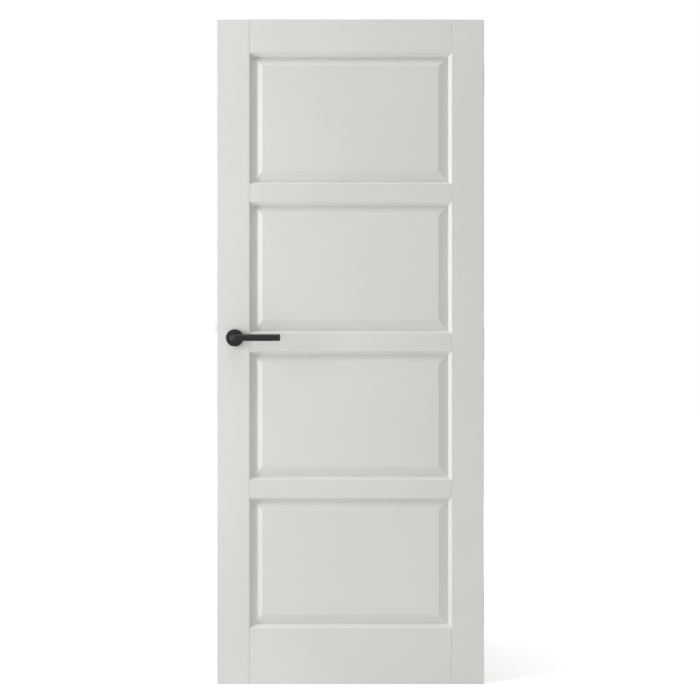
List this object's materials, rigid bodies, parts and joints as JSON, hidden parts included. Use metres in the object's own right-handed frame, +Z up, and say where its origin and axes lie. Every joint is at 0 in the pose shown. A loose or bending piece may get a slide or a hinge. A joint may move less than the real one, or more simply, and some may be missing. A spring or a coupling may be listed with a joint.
{
  "type": "panelled door leaf with lever handle",
  "caption": "White painted rail-and-stile door leaf with raised and fielded panels, butt hinges, and a black lever handle on round roses that works a spring latch.",
  "frame": {"origin": "bottom centre of the leaf, midway through its thickness, with the leaf closed", "axes": "+X across the leaf from the lock edge to the hinge edge, +Y from the front face to the back, +Z up"},
  "size_m": [0.8357, 0.154, 2.04],
  "materials": {
    "white_paint": "satin",
    "beech": "matte",
    "hinge_steel": "satin",
    "latch_steel": "satin",
    "zinc_plate": "satin",
    "black_metal": "matte",
    "nylon": "matte"
  },
  "bodies": {
    "frame_hinges": {"frame_flap_top": "hinge_steel", "frame_flap_middle": "hinge_steel", "frame_flap_bottom": "hinge_steel", "hinge_pin_top": "hinge_steel", "hinge_pin_middle": "hinge_steel", "hinge_pin_bottom": "hinge_steel"},
    "leaf": {"lock_stile": "white_paint", "hinge_stile": "white_paint", "top_rail": "white_paint", "upper_rail": "white_paint", "lock_rail": "white_paint", "lower_rail": "white_paint", "bottom_rail": "white_paint", "top_panel": "white_paint", "upper_panel": "white_paint", "lower_panel": "white_paint", "bottom_panel": "white_paint", "rail_dowels": "beech", "leaf_flap_top": "hinge_steel", "leaf_flap_middle": "hinge_steel", "leaf_flap_bottom": "hinge_steel", "hinge_screws": "hinge_steel", "latch_forend": "latch_steel", "forend_screws": "latch_steel", "latch_case": "zinc_plate", "latch_cover": "zinc_plate", "rose_base_front": "zinc_plate", "rose_base_back": "zinc_plate", "rose_bolts": "zinc_plate", "rose_cover_front": "black_metal", "rose_cover_back": "black_metal", "lever_bush_front": "nylon", "lever_bush_back": "nylon"},
    "handle": {"lever_front": "black_metal", "lever_back": "black_metal", "spindle": "zinc_plate", "follower": "zinc_plate", "grub_screws": "zinc_plate"},
    "latch": {"latch_bolt": "latch_steel"}
  },
  "joints": [
    {"name": "leaf_swing", "type": "hinge", "parent": "frame_hinges", "child": "leaf", "pos_m": [0.41075, 0.027, 0], "axis": [0, 0, -1], "range_deg": [0, 180]},
    {"name": "lever_turn", "type": "hinge", "parent": "leaf", "child": "handle", "pos_m": [-0.355, 0, 1.062], "axis": [0, 1, 0], "range_deg": [0, 35], "stiffness_Nm_per_rad": 1.5, "springref_deg": -28.65},
    {"name": "latch_slide", "type": "slide", "parent": "leaf", "child": "latch", "axis": [1, 0, 0], "range_m": [0, 0.009]}
  ],
  "couplings": [
    {"joint": "latch_slide", "follows": "lever_turn", "m_per_rad": 0.01473}
  ]
}
